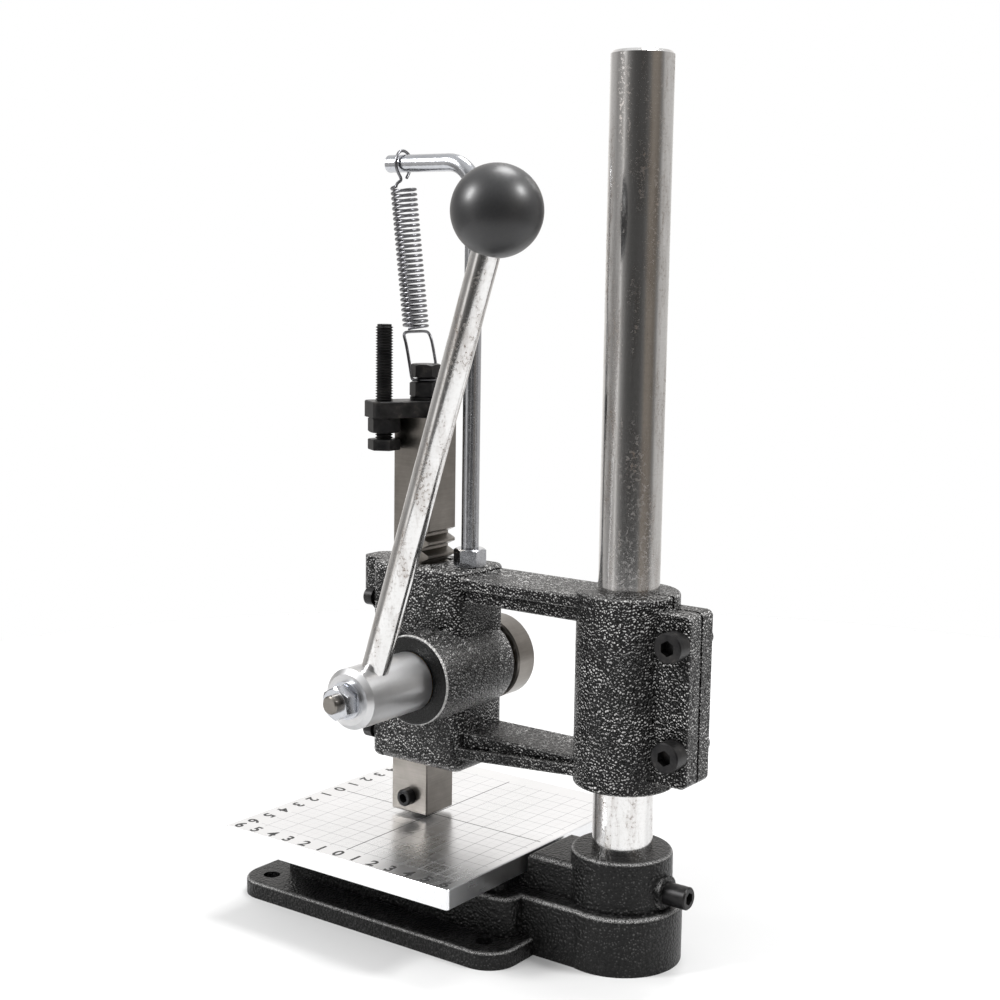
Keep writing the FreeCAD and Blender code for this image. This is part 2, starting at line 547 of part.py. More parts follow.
def stop_bolt():
    head = chamfered_hexagon(Vector(STOP_X, STOP_Y, STOP_HEAD_BOTTOM), M8_FLATS, Z_AXIS, M8_HEAD - 0.5)
    shank = disc_z(STOP_X, STOP_Y, M8_R, STOP_HEAD_BOTTOM + 2, STOP_BOLT_TOP)
    shank = shank.makeChamfer(0.8, [e for e in shank.Edges if at_height(STOP_BOLT_TOP)(e)])
    return head.fuse(shank).removeSplitter()


YOKE_X = 9.5                    # half the wire frame's width


def spring_yoke():
    """The bent wire from the spring's lower end to the ram's bolt: an eye under its head."""
    ring_z = RAM_BOLT_HEAD_Z - YOKE_GAP / 2
    eye_r = M8_R + WIRE_R + FIT
    eye = Part.makeTorus(eye_r, WIRE_R, Vector(0, RAM_Y, ring_z), Z_AXIS)
    peak = SPRING_BOTTOM - Vector(0, 0, 1.4)
    pieces = [eye]
    for side in (-1, 1):
        route = [Vector(side * eye_r, RAM_Y, ring_z), Vector(side * YOKE_X, RAM_Y - 0.5, ring_z)]
        route += [Vector(side * YOKE_X, RAM_Y - 4, peak.z - 4), Vector(side * (YOKE_X - 2), peak.y, peak.z)]
        route += [peak]
        for start, end in zip(route, route[1:]):
            pieces += [rod_between(start, end, WIRE_R), Part.makeSphere(WIRE_R, end)]
    return pieces[0].fuse(pieces[1:]).removeSplitter()


PARTS = [base_casting, column_lock_screw, table_plate, plate_screws, column, head_casting, front_cap,
         front_cap_screws, clamp_screws, pinion_bush_near, pinion_bush_far, spring_rod, rod_nut,
         return_spring, pinion_shaft, collar, collar_screw, lever_hub, hub_washer, hub_nut, lever,
         ball_knob, ram, tool_screw, top_plate, ram_washer, ram_nut, ram_bolt, jam_nut, stop_bolt,
         spring_yoke]

os.makedirs("parts", exist_ok=True)
for make in PARTS:
    shape = make()
    print(f"{make.__name__:20s} valid {shape.isValid()}  solids {len(shape.Solids)}")
    shape.exportStep(f"parts/{make.__name__}.step")
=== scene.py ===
# %% [markdown]
# # A bench arbor press
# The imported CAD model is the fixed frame: every body stays where it is and keeps its size.
# This lesson gives each part its finish, and adds what is better made as a mesh: screw
# threads, the coil spring, the bent wires, the knob and the printed numbers.

# %% Load the frame
import json
import math

import bmesh
import bpy
from mathutils import Matrix, Vector


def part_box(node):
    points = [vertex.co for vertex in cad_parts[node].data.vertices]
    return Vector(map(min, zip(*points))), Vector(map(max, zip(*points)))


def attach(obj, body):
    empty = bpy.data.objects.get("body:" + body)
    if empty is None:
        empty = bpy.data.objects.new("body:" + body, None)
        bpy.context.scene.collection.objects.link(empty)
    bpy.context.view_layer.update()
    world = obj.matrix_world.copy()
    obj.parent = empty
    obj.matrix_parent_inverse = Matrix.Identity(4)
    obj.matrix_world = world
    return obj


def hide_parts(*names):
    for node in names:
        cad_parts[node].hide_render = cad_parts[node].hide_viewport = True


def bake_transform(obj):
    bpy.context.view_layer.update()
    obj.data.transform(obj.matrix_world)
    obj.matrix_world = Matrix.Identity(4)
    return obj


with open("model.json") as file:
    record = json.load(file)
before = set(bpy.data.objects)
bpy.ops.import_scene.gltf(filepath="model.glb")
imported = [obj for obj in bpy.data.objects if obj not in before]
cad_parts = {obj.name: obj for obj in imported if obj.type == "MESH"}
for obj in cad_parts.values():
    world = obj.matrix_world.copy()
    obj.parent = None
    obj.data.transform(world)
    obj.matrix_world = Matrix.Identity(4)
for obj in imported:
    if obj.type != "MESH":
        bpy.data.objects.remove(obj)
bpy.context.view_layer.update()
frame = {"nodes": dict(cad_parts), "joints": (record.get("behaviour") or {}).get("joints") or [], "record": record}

MM = 0.001
joints = {joint["name"]: joint for joint in frame["joints"]}
print("nodes:", len(frame["nodes"]))


# %% [markdown]
# ## Places
# Everything that is added sits against a CAD part, so its place is read from that part's box.

# %% Read places from the frame
def middle(node):
    """The centre of a part's box."""
    low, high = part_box(node)
    return (low + high) / 2


pinion_axis = Vector(joints["lever_turn"]["pos_m"])
table_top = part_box("table_plate")[1].z
print("pinion axis:", [round(v, 4) for v in pinion_axis], "table at", round(table_top, 4))


# %% [markdown]
# ## A small language for shaders
# Shader maths reads best as ordinary expressions. `Value` wraps a socket, and each operator
# adds the Math node that does the sum. `Graph` adds any other node to a tree, and `Finish` is
# the graph of one material, with the textures that the press needs.

# %% Wrap sockets and materials
class Value:
    """A shader socket that takes part in sums."""

    def __init__(self, graph, socket):
        self.graph = graph
        self.socket = socket

    def sum(self, operation, first, second=0.0):
        return self.graph.node("ShaderNodeMath", {"operation": operation}, {0: first, 1: second})

    def __add__(self, other):
        return self.sum("ADD", self, other)

    def __sub__(self, other):
        return self.sum("SUBTRACT", self, other)

    def __mul__(self, other):
        return self.sum("MULTIPLY", self, other)

    def __rsub__(self, other):
        return self.sum("SUBTRACT", other, self)

    def __abs__(self):
        return self.sum("ABSOLUTE", self)

    def __gt__(self, other):
        return self.sum("GREATER_THAN", self, other)

    def __lt__(self, other):
        return self.sum("LESS_THAN", self, other)

    __radd__ = __add__
    __rmul__ = __mul__

    def fraction(self):
        return self.sum("FRACT", self)

    def clamped(self):
        return self.graph.node("ShaderNodeClamp", {}, {0: self})


class Graph:
    """A node tree, with one method that adds any node and others for the ones used most."""

    def __init__(self, tree):
        self.tree = tree

    def node(self, kind, settings, sockets, output=0):
        made = self.tree.nodes.new(kind)
        for key, value in settings.items():
            if key == "stops":
                self.stops(made.color_ramp, value)
            else:
                setattr(made, key, value)
        for key, value in sockets.items():
            self.feed(made.inputs[key], value)
        return Value(self, made.outputs[output])

    def stops(self, ramp, stops):
        while len(ramp.elements) < len(stops):
            ramp.elements.new(1.0)
        for element, (place, shade) in zip(ramp.elements, stops):
            element.position = place
            element.color = (*shade, 1.0)

    def feed(self, socket, value):
        if isinstance(value, Value):
            self.tree.links.new(value.socket, socket)
        else:
            socket.default_value = value

    def dot(self, vector, direction):
        pair = {0: vector, 1: direction}
        return self.node("ShaderNodeVectorMath", {"operation": "DOT_PRODUCT"}, pair, "Value")

    def axes(self, vector):
        return [self.node("ShaderNodeSeparateXYZ", {}, {0: vector}, k) for k in range(3)]

    def ramp(self, value, stops):
        return self.node("ShaderNodeValToRGB", {"stops": stops}, {0: value})

    def mix(self, factor, first, second):
        pair = {0: factor, 6: (*first, 1) if isinstance(first, tuple) else first,
                7: (*second, 1) if isinstance(second, tuple) else second}
        return self.node("ShaderNodeMix", {"data_type": "RGBA"}, pair, 2)


class Finish(Graph):
    """One material: its coordinates, its textures and its principled shader."""

    def __init__(self, name):
        self.material = bpy.data.materials.new(name)
        self.material.use_nodes = True
        super().__init__(self.material.node_tree)
        self.shader = self.tree.nodes["Principled BSDF"]

    def place(self, scale=(1, 1, 1)):
        """Object coordinates in metres, stretched by scale."""
        here = self.node("ShaderNodeTexCoord", {}, {}, "Object")
        return self.node("ShaderNodeMapping", {}, {"Vector": here, "Scale": scale})

    def shifted(self, shift):
        """Object coordinates moved by a small step."""
        here = self.node("ShaderNodeTexCoord", {}, {}, "Object")
        return self.node("ShaderNodeVectorMath", {"operation": "ADD"}, {0: here, 1: shift})

    def noise(self, vector, scale, detail=3.0, rough=0.5):
        sockets = {"Vector": vector, "Scale": scale, "Detail": detail, "Roughness": rough}
        return self.node("ShaderNodeTexNoise", {}, sockets)

    def cells(self, vector, scale, smooth=0.6):
        sockets = {"Vector": vector, "Scale": scale, "Smoothness": smooth}
        return self.node("ShaderNodeTexVoronoi", {"feature": "SMOOTH_F1"}, sockets)

    def bump(self, height, depth, strength=1.0):
        sockets = {"Height": height, "Distance": depth, "Strength": strength}
        return self.node("ShaderNodeBump", {}, sockets)

    def set(self, **sockets):
        """Sets the shader's sockets, written with underscores for the spaces in their names."""
        for key, value in sockets.items():
            socket = self.shader.inputs[key.replace("_", " ")]
            if isinstance(value, tuple) and len(value) == 3 and len(socket.default_value) == 4:
                value = (*value, 1.0)
            self.feed(socket, value)
        return self


print("shader language ready:", Value.__name__, Graph.__name__, Finish.__name__)


# %% [markdown]
# ## Hammered black paint
# The castings carry a thick textured enamel. It pulls into small pebbles as it dries, so the
# surface is made of rounded cells; the hollows between them are painted a deeper black, as shade.
# A second look at the same cells one small step uphill tells which side of a pebble slopes
# upwards: there a highlight is painted into the colour, as if light fell from above. Rounded
# edges are found by their slanting normal and painted brighter, partly as rubbed paint and partly
# as a painted highlight. The round end of the pinion housing is turned flat, so the paint and its
# painted highlights stop there, and its rim is painted as a bright highlight line.

# %% Make the hammered paint
# UPHILL is the step to the second look at the pebbles; GLINT_TONE is the colour of the painted highlights.
UPHILL = (0.12 * MM, 0.08 * MM, 0.24 * MM)
UPHILL_LEAST = 0.11
UPHILL_GAIN = 9.0
PEBBLE_DRIFT = 0.002
EDGE_SLANT = 0.62
RIM_WIDTH = 1.1 * MM
NO_SPOT_FACE = 1.0
# The darker of the two blacks is painted shade in the hollows between the pebbles.
HOLLOW_SHADE_BLACK = (0.002, 0.002, 0.002)
BLACK = (0.007, 0.007, 0.007)
GLINT_TONE = (0.74, 0.73, 0.72)


def hammered_paint(name, pebble_scale, depth, gloss, glint, edge_wear_and_highlight, spot_face=NO_SPOT_FACE):
    """Black enamel with painted shade in its hollows and painted highlights on its pebbles and worn edges. Past x
    = spot_face, the casting is turned flat and smooth, with a painted highlight round its rim.
    """
    paint = Finish(name)
    here = paint.place()
    wander = paint.noise(here, 260.0, 2.0)
    push = paint.node("ShaderNodeVectorMath", {"operation": "SCALE"},
                      {0: wander, "Scale": PEBBLE_DRIFT})

    def pebbles_at(shift):
        pair = {0: push, 1: paint.shifted(shift)}
        warped = paint.node("ShaderNodeVectorMath", {"operation": "ADD"}, pair)
        return paint.cells(warped, pebble_scale, 0.25)

    pebbles = pebbles_at((0, 0, 0))
    # Painted highlight: the upward side of each pebble is made bright in the colour, as if lit from above.
    painted_glint = ((pebbles_at(UPHILL) - pebbles - UPHILL_LEAST) * UPHILL_GAIN).clamped()
    grain = paint.noise(here, 2600.0, 3.0, 0.6)
    slant = paint.axes(paint.node("ShaderNodeTexCoord", {}, {}, "Normal"))[2]
    # Rounded edges are painted brighter: partly rubbed paint, partly a painted highlight.
    edge = (1 - abs(abs(slant) - EDGE_SLANT) * 2.6).clamped() * (grain > 0.5)
    patches = (paint.noise(here, 70.0, 3.0, 0.55) * 1.8 - 0.35).clamped()
    x = paint.axes(here)[0]
    turned = x > spot_face
    # Painted highlight: a bright line round the rim of the turned face.
    rim = (x > (spot_face - RIM_WIDTH)) * (1 - turned) * 0.5
    bright = ((painted_glint * patches * glint + edge * edge_wear_and_highlight) * (1 - turned) + rim).clamped()
    height = (1 - pebbles * 1.4) * (1 - turned) + grain * 0.2
    # The pebble hollows take the darker black as painted shade, and the painted highlights are mixed over it.
    paint.set(Base_Color=paint.mix(bright, paint.mix(pebbles, BLACK, HOLLOW_SHADE_BLACK), GLINT_TONE))
    paint.set(Roughness=gloss + grain * 0.14 + bright * 0.1, Normal=paint.bump(height, depth))
    paint.set(Specular_IOR_Level=0.24)
    print("paint:", name)
    return paint.material


# %% [markdown]
# ## Metals
# Bare metals differ in how they were finished. Chrome is nearly a mirror with faint rings from
# grinding, the ram keeps a cross grain, and black oxide is a dark skin with lighter blotches.

# %% Make the metals
def grained_metal(name, tone, dark_tone, rough, grain_scale, blotch=90.0):
    """A metal whose fine grain is drawn out where grain_scale is small."""
    metal = Finish(name)
    here = metal.place()
    grain = metal.noise(metal.place(grain_scale), 1.0, 4.0, 0.65)
    stain = metal.noise(here, blotch, 4.0, 0.6)
    specks = metal.noise(here, 900.0, 2.0, 0.5) > 0.68
    metal.set(Base_Color=metal.mix(stain * 0.6 + grain * 0.4, dark_tone, tone), Metallic=1.0)
    metal.set(Roughness=rough + (grain - 0.5) * 0.12 + specks * 0.12)
    metal.set(Normal=metal.bump(grain + stain * 0.3, 0.02 * MM, 0.6))
    return metal.material


def worn_chrome(name, rough):
    """Chrome on ground bar: fine rings, long stains and pits where the plating has gone."""
    chrome = Finish(name)
    rings = chrome.noise(chrome.place((30, 30, 2600)), 1.0, 3.0, 0.6)
    stain = chrome.noise(chrome.place((150, 150, 26)), 1.0, 5.0, 0.68)
    pits = chrome.noise(chrome.place(), 700.0, 2.0, 0.6)
    worn = ((stain - 0.47) * 5.0).clamped()
    pitted = ((pits - 0.54) * 14.0).clamped() * (0.15 + worn * 0.85)
    clean = chrome.mix(rings, (0.68, 0.675, 0.67), (0.78, 0.775, 0.77))
    bare = (worn * 0.40 + pitted * 0.55).clamped()
    chrome.set(Base_Color=chrome.mix(bare, clean, (0.22, 0.175, 0.145)), Metallic=1.0)
    chrome.set(Roughness=rough + worn * 0.07 + pitted * 0.3)
    chrome.set(Normal=chrome.bump(rings * 0.4 + stain - pitted * 0.6, 0.03 * MM, 0.5))
    return chrome.material


def black_oxide():
    metal = Finish("black_oxide")
    here = metal.place()
    grain = metal.noise(here, 1500.0, 3.0, 0.6)
    stain = metal.noise(here, 180.0, 4.0, 0.6)
    shade = metal.ramp(stain, [(0.3, (0.010, 0.010, 0.011)), (0.6, (0.028, 0.027, 0.027)),
                               (0.75, (0.06, 0.055, 0.05))])
    metal.set(Base_Color=shade, Metallic=0.75, Roughness=0.28 + stain * 0.25)
    metal.set(Normal=metal.bump(grain, 0.03 * MM, 0.6))
    return metal.material


print("metals ready")


# %% [markdown]
# ## The ruled plate
# The table is a satin plate. A centimetre ruling is printed on its top face only, with two
# bolder lines that cross under the ram. The lines come from the fraction of each coordinate in
# centimetres, so they stay the same width everywhere.

# %% Make the ruled plate
RULED_X = 62.0
RULED_FRONT = -54.0
RULED_BACK = 62.0
ONE_CM = 10.0
HALF_CM = 5.0
ONCE = 400.0


def ruled_plate():
    """The sums here are in millimetres."""
    plate = Finish("ruled_plate")
    x, y, z = plate.axes(plate.place((1000, 1000, 1000)))
    top = z > (table_top / MM - 0.2)

    def line(value, pitch, half_width):
        """1 on lines that lie every pitch millimetres, with soft edges."""
        offset = abs((value * (1 / pitch) + 0.5).fraction() - 0.5) * pitch
        return ((half_width - offset) * 6.0 + 0.5).clamped()

    def grid(pitch, half_width, strength):
        return (line(x, pitch, half_width) + line(y, pitch, half_width)).clamped() * strength

    inside = (abs(x) < RULED_X) * (y > RULED_FRONT) * (y < RULED_BACK)
    lines = grid(HALF_CM, 0.10, 0.22) + grid(ONE_CM, 0.16, 0.45) + grid(ONCE, 0.30, 0.85)
    ink = lines.clamped() * inside * top
    brushed = plate.noise(plate.place((40, 1600, 400)), 1.0, 3.0, 0.6)
    smear = plate.noise(plate.place(), 26.0, 3.0, 0.55)
    metal = plate.mix(smear, (0.80, 0.81, 0.82), (0.92, 0.92, 0.93))
    plate.set(Base_Color=plate.mix(ink, metal, (0.05, 0.05, 0.055)), Metallic=1 - ink * 0.8)
    plate.set(Roughness=0.19 + smear * 0.14 + brushed * 0.06 + ink * 0.3)
    plate.set(Normal=plate.bump(brushed, 0.01 * MM, 0.4))
    print("ruling: every", HALF_CM, "and", ONE_CM, "mm, and one bold cross")
    return plate.material


# %% [markdown]
# ## Knob and ink
# The knob is moulded phenolic: black, softly glossy, with a faint ripple. The numbers are a
# matt printing ink.

# %% Make the knob and the ink
def moulded_black():
    knob = Finish("black_knob")
    ripple = knob.noise(knob.place(), 60.0, 2.0)
    dust = knob.noise(knob.place(), 1400.0, 2.0)
    knob.set(Base_Color=knob.mix(dust, (0.010, 0.010, 0.011), (0.019, 0.019, 0.020)))
    knob.set(Roughness=0.36 + dust * 0.10, Normal=knob.bump(ripple, 0.06 * MM, 0.3))
    knob.set(Coat_Weight=0.12, Coat_Roughness=0.22)
    return knob.material


def printing_ink():
    ink = Finish("printing_ink")
    grain = ink.noise(ink.place(), 2600.0, 2.0)
    ink.set(Base_Color=ink.mix(grain, (0.006, 0.006, 0.007), (0.03, 0.03, 0.03)))
    ink.set(Roughness=0.45 + grain * 0.2)
    return ink.material


print("knob and ink ready")


# %% [markdown]
# ## Dress the CAD parts
# The record names a material slot for each node, so one table of finishes dresses them all.

# %% Give each CAD node its finish
housing_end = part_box("pinion_bush_near")[1].x
finishes = {
    "hammered_black": hammered_paint("hammered_black", 950.0, 0.8 * MM, 0.20, 1.0, 0.35, housing_end),
    "bright_chrome": worn_chrome("bright_chrome", 0.12),
    "ground_steel": grained_metal("ground_steel", (0.33, 0.31, 0.285), (0.10, 0.09, 0.08), 0.30,
                                  (60, 60, 1800)),
    "bright_zinc": grained_metal("bright_zinc", (0.60, 0.61, 0.63), (0.36, 0.37, 0.40), 0.20,
                                 (500, 500, 500), 200.0),
    "turned_hub": grained_metal("turned_hub", (0.72, 0.72, 0.72), (0.50, 0.50, 0.51), 0.36,
                                (2200, 40, 40)),
    "bearing_bronze": grained_metal("bearing_bronze", (0.60, 0.40, 0.18), (0.35, 0.22, 0.09), 0.3,
                                    (2000, 40, 40)),
    "black_oxide": black_oxide(),
    "ruled_plate": ruled_plate(),
    "black_knob": moulded_black(),
}
# The base paint has few painted pebble highlights and brighter edges, partly wear and partly painted highlight.
base_paint = hammered_paint("base_black", 800.0, 0.3 * MM, 0.28, 0.10, 0.45)
spring_wire = grained_metal("spring_wire", (0.26, 0.26, 0.27), (0.10, 0.10, 0.11), 0.32,
                            (500, 500, 500), 300.0)
ink = printing_ink()
slots = {part["node"]: part["material_slot"] for part in frame["record"]["subparts"]}


def dress(piece, material):
    piece.data.materials.clear()
    piece.data.materials.append(material)


for name, node in frame["nodes"].items():
    dress(node, finishes[slots[name]])
dress(frame["nodes"]["base_casting"], base_paint)
print("dressed", len(frame["nodes"]), "nodes with", len(finishes), "finishes")


# %% [markdown]
# ## Turned pieces
# The thread and the knob are turned shapes: a half outline spun once round an axis.
# `spin_outline` draws it as radius and height, spins it, and stands it on its place.

# %% Spin an outline
def finished(name, mesh_edit, material, smooth_angle=35):
    """Turns a bmesh into an object of the scene, smooth but for its sharp corners."""
    bmesh.ops.remove_doubles(mesh_edit, verts=mesh_edit.verts, dist=1e-7)
    bmesh.ops.recalc_face_normals(mesh_edit, faces=mesh_edit.faces)
    mesh = bpy.data.meshes.new(name)
    mesh_edit.to_mesh(mesh)
    mesh_edit.free()
    mesh.shade_smooth()
    mesh.set_sharp_from_angle(angle=math.radians(smooth_angle))
    piece = bpy.data.objects.new(name, mesh)
    bpy.context.scene.collection.objects.link(piece)
    dress(piece, material)
    print(f"{name}: {len(mesh.polygons)} faces")
    return piece


def along(axis):
    """The turn that takes +Z to axis."""
    return Vector((0, 0, 1)).rotation_difference(Vector(axis)).to_matrix().to_4x4()


def spin_outline(mesh_edit, outline, base, axis, steps=48):
    """Adds a turned shape: outline is a list of radius and height, from the axis back to the axis."""
    corners = [mesh_edit.verts.new((radius, 0, height)) for radius, height in outline]
    sides = [mesh_edit.edges.new(pair) for pair in zip(corners, corners[1:])]
    spun = bmesh.ops.spin(mesh_edit, geom=corners + sides, cent=(0, 0, 0), axis=(0, 0, 1),
                          angle=math.tau, steps=steps, use_merge=True)
    last = [edge for edge in spun["geom_last"] if isinstance(edge, bmesh.types.BMEdge)]
    island = flood({face for edge in last for face in edge.link_faces})
    place = Matrix.Translation(base) @ along(axis)
    bmesh.ops.transform(mesh_edit, matrix=place, verts=list(island))


def flood(faces):
    """All vertices joined to the given faces."""
    waiting = {vert for face in faces for vert in face.verts}
    found = set()
    while waiting:
        vert = waiting.pop()
        found.add(vert)
        waiting |= {edge.other_vert(vert) for edge in vert.link_edges} - found
    return found


print("outlines can be spun")


# %% [markdown]
# ## Screw threads
# A metric thread is a row of V grooves. At this size the helix angle can't be seen, so each
# groove is a closed ring, and the outline zigzags between the crest and the root.

# %% Draw a thread and a bolt head
THREAD_PITCH = 1.25 * MM
THREAD_ROOT = 0.70 * MM
UP = (0, 0, 1)


def threaded_outline(crest, length):
    """The half outline of a threaded bar with turned ends."""
    root = crest - THREAD_ROOT
    outline = [(0, 0), (root, 0)]
    for k in range(int(length / THREAD_PITCH)):
        for radius, share in ((root, 0.10), (crest, 0.45), (crest, 0.58), (root, 0.93)):
            outline.append((radius, (k + share) * THREAD_PITCH))
    tip = crest - 1.3 * THREAD_ROOT
    return outline + [(root, length - 0.1 * THREAD_PITCH), (tip, length), (0, length)]


def add_hexagon(mesh_edit, base, flats, height, ease=0.45 * MM):
    """An upright bolt head: a six sided prism with its rims eased."""
    corner = flats / math.sqrt(3)
    made = bmesh.ops.create_cone(mesh_edit, cap_ends=True, segments=6, radius1=corner,
                                 radius2=corner, depth=height)
    rims = {edge for vert in made["verts"] for edge in vert.link_edges
            if abs(edge.verts[0].co.z - edge.verts[1].co.z) < 1e-6}
    place = Matrix.Translation(base + Vector(UP) * (height / 2))
    corner_first = Matrix.Rotation(math.radians(30), 4, "Z")
    bmesh.ops.transform(mesh_edit, matrix=place @ corner_first, verts=made["verts"])
    bmesh.ops.bevel(mesh_edit, geom=list(rims), offset=ease, offset_type="OFFSET", segments=2,
                    profile=0.5, affect="EDGES", material=-1)


print("thread pitch:", THREAD_PITCH / MM, "mm")

# %% Make the stop bolt
M8_CREST = 3.96 * MM
M8_FLATS = 13.0 * MM
STOP_HEAD = 5.0 * MM

stop_low, stop_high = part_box("stop_bolt")
stop_foot = middle("stop_bolt")
stop_foot.z = stop_low.z
edit = bmesh.new()
add_hexagon(edit, stop_foot, M8_FLATS, STOP_HEAD)
spin_outline(edit, threaded_outline(M8_CREST, stop_high.z - stop_low.z - STOP_HEAD),
             stop_foot + Vector(UP) * STOP_HEAD, UP)
threaded_stop = finished("stop_bolt_threaded", edit, finishes["black_oxide"], 25)
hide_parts("stop_bolt")
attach(threaded_stop, "stop_bolt")


# %% [markdown]
# ## The knob
# A sphere from an operator has poles and a seam, but the real knob is turned in its mould:
# its outline is one arc that ends in a small flat where the lever enters.

# %% Turn the knob
LEVER_LENGTH = 215 * MM
NECK_R = 7.2 * MM
ARC_STEPS = 40

knob_low, knob_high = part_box("ball_knob")
knob_r = (knob_high.x - knob_low.x) / 2
lever_way = middle("ball_knob") - pinion_axis
lever_way.x = 0
lever_way.normalize()
knob_centre = Vector((middle("ball_knob").x, pinion_axis.y, pinion_axis.z)) + lever_way * LEVER_LENGTH
neck_angle = math.asin(NECK_R / knob_r)
outline = [(0, -knob_r * math.cos(neck_angle))]
for k in range(ARC_STEPS + 1):
    angle = neck_angle + (math.pi - neck_angle) * k / ARC_STEPS
    outline.append((knob_r * math.sin(angle), -knob_r * math.cos(angle)))
outline[-1] = (0, knob_r)
edit = bmesh.new()
spin_outline(edit, outline, knob_centre, lever_way, 72)
knob = finished("lever_knob", edit, finishes["black_knob"], 50)
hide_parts("ball_knob")
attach(knob, "lever")


# %% [markdown]
# ## The return spring
# A coil is a small circle spun round an axis while it climbs: the spin operator's `dvec` adds
# the climb. The top coil ends in a hook over the rod, so the hook belongs to the same piece.
# A bent wire is a curve with a round section, made a mesh before it joins the piece.

# %% Draw a coil and a bent wire
WIRE_R = 0.7 * MM
COIL_R = 5.4 * MM
COILS = 28
COIL_STEPS = 22


def add_coil(mesh_edit, bottom, top):
    """A round wire wound from bottom to top."""
    run = top - bottom
    ring = bmesh.ops.create_circle(mesh_edit, cap_ends=True, segments=8, radius=WIRE_R)
    upright = Matrix.Translation((COIL_R, 0, 0)) @ Matrix.Rotation(math.pi / 2, 4, "X")
    bmesh.ops.transform(mesh_edit, matrix=upright, verts=ring["verts"])
    rim = {edge for vert in ring["verts"] for edge in vert.link_edges}
    faces = {face for edge in rim for face in edge.link_faces}
    steps = COILS * COIL_STEPS
    bmesh.ops.spin(mesh_edit, geom=ring["verts"] + list(rim) + list(faces), cent=(0, 0, 0), axis=UP,
                   dvec=(0, 0, run.length / steps), angle=math.tau * COILS, steps=steps)
    place = Matrix.Translation(bottom) @ along(run.normalized())
    bmesh.ops.transform(mesh_edit, matrix=place, verts=mesh_edit.verts[:])


def made_mesh(name, data):
    """The mesh that a curve or a text makes."""
    holder = bpy.data.objects.new(name, data)
    bpy.context.scene.collection.objects.link(holder)
    bpy.context.view_layer.update()
    shown = holder.evaluated_get(bpy.context.evaluated_depsgraph_get())
    mesh = bpy.data.meshes.new_from_object(shown)
    bpy.data.objects.remove(holder)
    return mesh


def bent_wire(points):
    """A wire on one smooth curve that is drawn towards each point in turn."""
    curve = bpy.data.curves.new("wire", "CURVE")
    curve.dimensions = "3D"
    spline = curve.splines.new("NURBS")
    spline.points.add(len(points) - 1)
    for point, place in zip(spline.points, points):
        point.co = (*place, 1.0)
    spline.order_u = 3
    spline.use_endpoint_u = True
    curve.resolution_u = 10
    curve.bevel_depth = WIRE_R
    curve.bevel_resolution = 3
    curve.use_fill_caps = True
    return made_mesh("wire", curve)


print("coils:", COILS, "of radius", COIL_R / MM, "mm")

# %% Wind the spring
SPRING_TOP = Vector((0, -20.6, 334.0)) * MM
SPRING_BOTTOM = Vector((0, -12.6, 270.0)) * MM
ROD_R = 4 * MM

rod_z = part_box("spring_rod")[1].z - ROD_R
rise = (rod_z - SPRING_TOP.z) / MM
hook = [(5.4, 0, -0.4), (4.86, 0, 1.6), (1.5, 0.6, 3.0), (4.6, 0, rise - 3.5), (5.6, 0, rise + 0.5),
        (3.6, 0, rise + 5.4), (-1.2, 0, rise + 5.9), (-5.4, 0, rise + 3.0), (-5.4, 0, rise - 2.5),
        (-2.2, 0, rise - 6.4)]
edit = bmesh.new()
add_coil(edit, SPRING_BOTTOM, SPRING_TOP)
edit.from_mesh(bent_wire([SPRING_TOP + Vector(place) * MM for place in hook]))
spring = finished("tension_spring", edit, spring_wire, 60)
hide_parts("return_spring")
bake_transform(spring)


# %% [markdown]
# ## The yoke
# Under the spring, one bent wire opens round the bolt head and closes in an eye under it.

# %% Bend the yoke
EYE_R = 4.75 * MM
EYE_STEPS = 11

yoke_low, yoke_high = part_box("spring_yoke")
eye_centre = Vector((0, middle("ram_bolt").y, yoke_low.z + WIRE_R))
leg_x = (yoke_high.x - WIRE_R) / MM
peak = (SPRING_BOTTOM - eye_centre) / MM - Vector((0, 0, 1.4))


def yoke_side(side):
    """The wire from under the spring, over the shoulder and down to the eye."""
    route = [(0.5, peak.y, peak.z), (7.5, peak.y, peak.z), (9.4, peak.y + 0.4, peak.z - 1.2),
             (leg_x, -4.0, peak.z - 5.0), (leg_x, -1.6, 6.0), (leg_x, -0.6, 0.8), (8.6, -0.2, 0),
             (EYE_R / MM, 0, 0)]
    return [eye_centre + Vector((side * x, y, z)) * MM for x, y, z in route]


turns = [math.radians(-20 + 220 * k / EYE_STEPS) for k in range(EYE_STEPS + 1)]
eye = [eye_centre + Vector((math.cos(turn), math.sin(turn), 0)) * EYE_R for turn in turns]
edit = bmesh.new()
edit.from_mesh(bent_wire(yoke_side(1)[::-1] + yoke_side(-1)))
edit.from_mesh(bent_wire(eye))
yoke = finished("yoke_wire", edit, spring_wire, 60)
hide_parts("spring_yoke")
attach(yoke, "ram")


# %% [markdown]
# ## Printed numbers
# The ruling is numbered outwards from the middle, along two edges. Each number is a text made
# into a mesh, a few hundredths of a millimetre thick, and laid on the plate.

# %% Print the numbers
DIGIT_SIZE = 8.6 * MM
DIGIT_WEIGHT = 0.22 * MM
INK_T = 0.03 * MM
NUMBER_X = 67.8 * MM
NUMBER_Y = -59.2 * MM


def add_number(mesh_edit, value, place, turn):
    text = bpy.data.curves.new("digit", "FONT")
    text.body = str(value)
    text.size = DIGIT_SIZE
    text.align_x = "CENTER"
    text.align_y = "CENTER"
    text.extrude = INK_T
    text.offset = DIGIT_WEIGHT
    mesh = made_mesh("digit", text)
    mesh.transform(Matrix.Translation(place) @ Matrix.Rotation(turn, 4, "Z"))
    mesh_edit.from_mesh(mesh)


